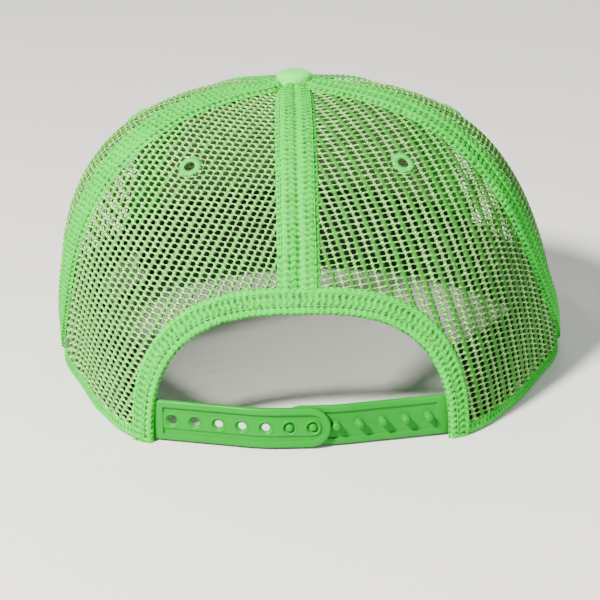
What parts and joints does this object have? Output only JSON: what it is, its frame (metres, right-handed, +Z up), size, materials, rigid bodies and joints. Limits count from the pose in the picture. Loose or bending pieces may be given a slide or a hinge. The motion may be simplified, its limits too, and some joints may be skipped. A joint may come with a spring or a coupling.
{
  "type": "trucker mesh cap",
  "caption": "Six-panel trucker cap: mesh rear and side panels, lined front panels, stitched brim, arched rear opening and a two-piece snap strap.",
  "frame": {"origin": "middle of the footprint, on the surface that the cap rests on", "axes": "+Z up, the brim points along -Y, +X is the wearer's left"},
  "size_m": [0.2029, 0.2599, 0.117],
  "materials": {
    "green_mesh": "knitted polyester mesh",
    "green_cloth": "woven cloth and embroidery thread",
    "green_plastic": "satin moulded plastic",
    "white_cloth": "stiff woven lining",
    "black_cloth": "woven sweatband cloth",
    "board": "brim stiffener",
    "rivet_metal": "stamped"
  },
  "bodies": {
    "cap": {"brim_board": "board", "brim_top_cover": "green_cloth", "brim_under_cover": "green_cloth", "button_cover": "green_cloth", "button_rivet": "rivet_metal", "care_label": "white_cloth", "center_back_seam_band": "green_mesh", "center_front_seam_tape": "white_cloth", "eyelet_front_left": "green_cloth", "eyelet_front_right": "green_cloth", "eyelet_rear_left": "green_cloth", "eyelet_rear_right": "green_cloth", "eyelet_side_left": "green_cloth", "eyelet_side_right": "green_cloth", "front_backing_left": "white_cloth", "front_backing_right": "white_cloth", "front_panel_left": "green_cloth", "front_panel_right": "green_cloth", "front_seam_tape_left": "green_cloth", "front_seam_tape_right": "green_cloth", "opening_binding": "green_mesh", "rear_mesh_left": "green_mesh", "rear_mesh_right": "green_mesh", "rear_seam_band_left": "green_mesh", "rear_seam_band_right": "green_mesh", "rim_hem_left": "green_cloth", "rim_hem_right": "green_cloth", "side_mesh_left": "green_mesh", "side_mesh_right": "green_mesh", "snap_strap_female_tab": "green_plastic", "snap_strap_male_tab": "green_plastic", "sweatband": "black_cloth"},
    "female_strap": {"snap_strap_female": "green_plastic"},
    "male_strap": {"snap_strap_male": "green_plastic"}
  },
  "joints": [
    {"name": "female_strap_swing", "type": "hinge", "parent": "cap", "child": "female_strap", "pos_m": [0.05754, 0.11846, 0.0086], "axis": [0, 0, -1], "range_deg": [0, 60], "stiffness_Nm_per_rad": 0.003},
    {"name": "male_strap_swing", "type": "hinge", "parent": "cap", "child": "male_strap", "pos_m": [-0.04623, 0.1184, 0.0086], "axis": [0, 0, -1], "range_deg": [0, 35], "stiffness_Nm_per_rad": 0.003}
  ]
}
